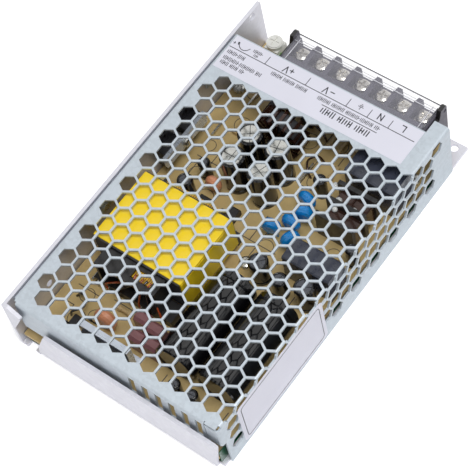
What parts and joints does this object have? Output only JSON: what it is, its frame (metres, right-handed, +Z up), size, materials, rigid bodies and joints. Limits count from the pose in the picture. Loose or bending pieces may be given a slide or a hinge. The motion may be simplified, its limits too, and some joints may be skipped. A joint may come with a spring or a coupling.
{
  "type": "mesh case switching power supply",
  "caption": "Flat switching power supply in a folded metal case, with a hexagon mesh cover over its board and a row of screw terminals under a clear flip cover.",
  "frame": {"origin": "centre of the case's plan at the underside of the base", "axes": "+X towards the terminals, +Y towards the plain side wall, +Z up through the mesh"},
  "size_m": [0.159, 0.097, 0.0301],
  "materials": {
    "chassis": "satin, lightly brushed sheet",
    "cover": "galvanised, faintly spangled",
    "sticker": "matt film sticker",
    "film": "dark green insulating film",
    "board": "bare phenolic board",
    "zinc": "zinc plated",
    "nickel": "nickel plated",
    "contact": "tinned brass",
    "block": "dark grey moulded plastic",
    "clear": "clear moulded plastic",
    "pot": "pale moulded plastic",
    "led": "tinted lens",
    "ferrite": "dark grey ferrite",
    "tape": "polyester tape",
    "bakelite": "black moulded plastic",
    "winding": "taped enamelled wire",
    "copper": "enamelled copper wire",
    "sleeve": "shrink sleeve over an aluminium can",
    "xcap": "dark slate moulded box",
    "bluecap": "glossy blue dip coating",
    "filmcap": "brown-red moulded box",
    "orange": "brown-orange dip coating",
    "ceramicbody": "glazed",
    "epoxy": "black epoxy",
    "heatsink": "plain extruded",
    "resistor": "painted"
  },
  "bodies": {
    "case": {"base_chassis": "chassis", "mesh_cover": "cover", "rating_label": "sticker", "side_label": "sticker", "insulation_sheet": "film", "circuit_board": "board", "board_standoffs": "zinc", "board_screws": "zinc", "cover_screws": "zinc", "terminal_block": "block", "terminal_contacts": "contact", "adjuster_body": "pot", "indicator_led": "led", "transformer_core": "ferrite", "transformer_tape": "tape", "transformer_bobbin": "bakelite", "transformer_winding": "winding", "bulk_capacitor_1": "sleeve", "bulk_capacitor_2": "sleeve", "output_capacitor_1": "sleeve", "output_capacitor_2": "sleeve", "output_capacitor_3": "sleeve", "output_capacitor_4": "sleeve", "output_choke_core": "ferrite", "output_choke_winding": "copper", "line_filter_core": "bakelite", "line_filter_winding": "copper", "x_capacitor_1": "xcap", "x_capacitor_2": "xcap", "y_capacitors": "bluecap", "film_capacitors": "filmcap", "small_capacitors": "sleeve", "thermistor": "orange", "fuse": "ceramicbody", "bridge_rectifier": "epoxy", "heatsink_bar": "heatsink", "power_transistors": "epoxy", "clamp_bar": "heatsink", "clamp_screws": "zinc", "control_chips": "epoxy", "resistors": "resistor", "jumper_wires": "zinc"},
    "clamp_1": {"clamp_plate_1": "nickel"},
    "screw_1": {"terminal_screw_1": "nickel"},
    "clamp_2": {"clamp_plate_2": "nickel"},
    "screw_2": {"terminal_screw_2": "nickel"},
    "clamp_3": {"clamp_plate_3": "nickel"},
    "screw_3": {"terminal_screw_3": "nickel"},
    "clamp_4": {"clamp_plate_4": "nickel"},
    "screw_4": {"terminal_screw_4": "nickel"},
    "clamp_5": {"clamp_plate_5": "nickel"},
    "screw_5": {"terminal_screw_5": "nickel"},
    "clamp_6": {"clamp_plate_6": "nickel"},
    "screw_6": {"terminal_screw_6": "nickel"},
    "clamp_7": {"clamp_plate_7": "nickel"},
    "screw_7": {"terminal_screw_7": "nickel"},
    "flip_cover": {"terminal_cover": "clear"},
    "adjuster": {"adjuster_knob": "pot"}
  },
  "joints": [
    {"name": "clamp_1_lift", "type": "slide", "parent": "case", "child": "clamp_1", "axis": [0, 0, 1], "range_m": [0, 0.0024]},
    {"name": "screw_1_turn", "type": "hinge", "parent": "clamp_1", "child": "screw_1", "pos_m": [0.0736, 0.0241, 0.0172], "axis": [0, 0, 1], "range_deg": [0, 1440]},
    {"name": "clamp_2_lift", "type": "slide", "parent": "case", "child": "clamp_2", "axis": [0, 0, 1], "range_m": [0, 0.0024]},
    {"name": "screw_2_turn", "type": "hinge", "parent": "clamp_2", "child": "screw_2", "pos_m": [0.0736, 0.0146, 0.0172], "axis": [0, 0, 1], "range_deg": [0, 1440]},
    {"name": "clamp_3_lift", "type": "slide", "parent": "case", "child": "clamp_3", "axis": [0, 0, 1], "range_m": [0, 0.0024]},
    {"name": "screw_3_turn", "type": "hinge", "parent": "clamp_3", "child": "screw_3", "pos_m": [0.0736, 0.0051, 0.0172], "axis": [0, 0, 1], "range_deg": [0, 1440]},
    {"name": "clamp_4_lift", "type": "slide", "parent": "case", "child": "clamp_4", "axis": [0, 0, 1], "range_m": [0, 0.0024]},
    {"name": "screw_4_turn", "type": "hinge", "parent": "clamp_4", "child": "screw_4", "pos_m": [0.0736, -0.0044, 0.0172], "axis": [0, 0, 1], "range_deg": [0, 1440]},
    {"name": "clamp_5_lift", "type": "slide", "parent": "case", "child": "clamp_5", "axis": [0, 0, 1], "range_m": [0, 0.0024]},
    {"name": "screw_5_turn", "type": "hinge", "parent": "clamp_5", "child": "screw_5", "pos_m": [0.0736, -0.0139, 0.0172], "axis": [0, 0, 1], "range_deg": [0, 1440]},
    {"name": "clamp_6_lift", "type": "slide", "parent": "case", "child": "clamp_6", "axis": [0, 0, 1], "range_m": [0, 0.0024]},
    {"name": "screw_6_turn", "type": "hinge", "parent": "clamp_6", "child": "screw_6", "pos_m": [0.0736, -0.0234, 0.0172], "axis": [0, 0, 1], "range_deg": [0, 1440]},
    {"name": "clamp_7_lift", "type": "slide", "parent": "case", "child": "clamp_7", "axis": [0, 0, 1], "range_m": [0, 0.0024]},
    {"name": "screw_7_turn", "type": "hinge", "parent": "clamp_7", "child": "screw_7", "pos_m": [0.0736, -0.0329, 0.0172], "axis": [0, 0, 1], "range_deg": [0, 1440]},
    {"name": "flip_cover_hinge", "type": "hinge", "parent": "case", "child": "flip_cover", "pos_m": [0.0782, -0.0044, 0.022], "axis": [0, 1, 0], "range_deg": [0, 120]},
    {"name": "adjuster_turn", "type": "hinge", "parent": "case", "child": "adjuster", "pos_m": [0.0758, 0.0399, 0.0115], "axis": [0, 0, 1], "range_deg": [-135, 135]}
  ],
  "couplings": [
    {"joint": "screw_1_turn", "follows": "clamp_1_lift", "rad_per_m": 10472},
    {"joint": "screw_2_turn", "follows": "clamp_2_lift", "rad_per_m": 10472},
    {"joint": "screw_3_turn", "follows": "clamp_3_lift", "rad_per_m": 10472},
    {"joint": "screw_4_turn", "follows": "clamp_4_lift", "rad_per_m": 10472},
    {"joint": "screw_5_turn", "follows": "clamp_5_lift", "rad_per_m": 10472},
    {"joint": "screw_6_turn", "follows": "clamp_6_lift", "rad_per_m": 10472},
    {"joint": "screw_7_turn", "follows": "clamp_7_lift", "rad_per_m": 10472}
  ]
}
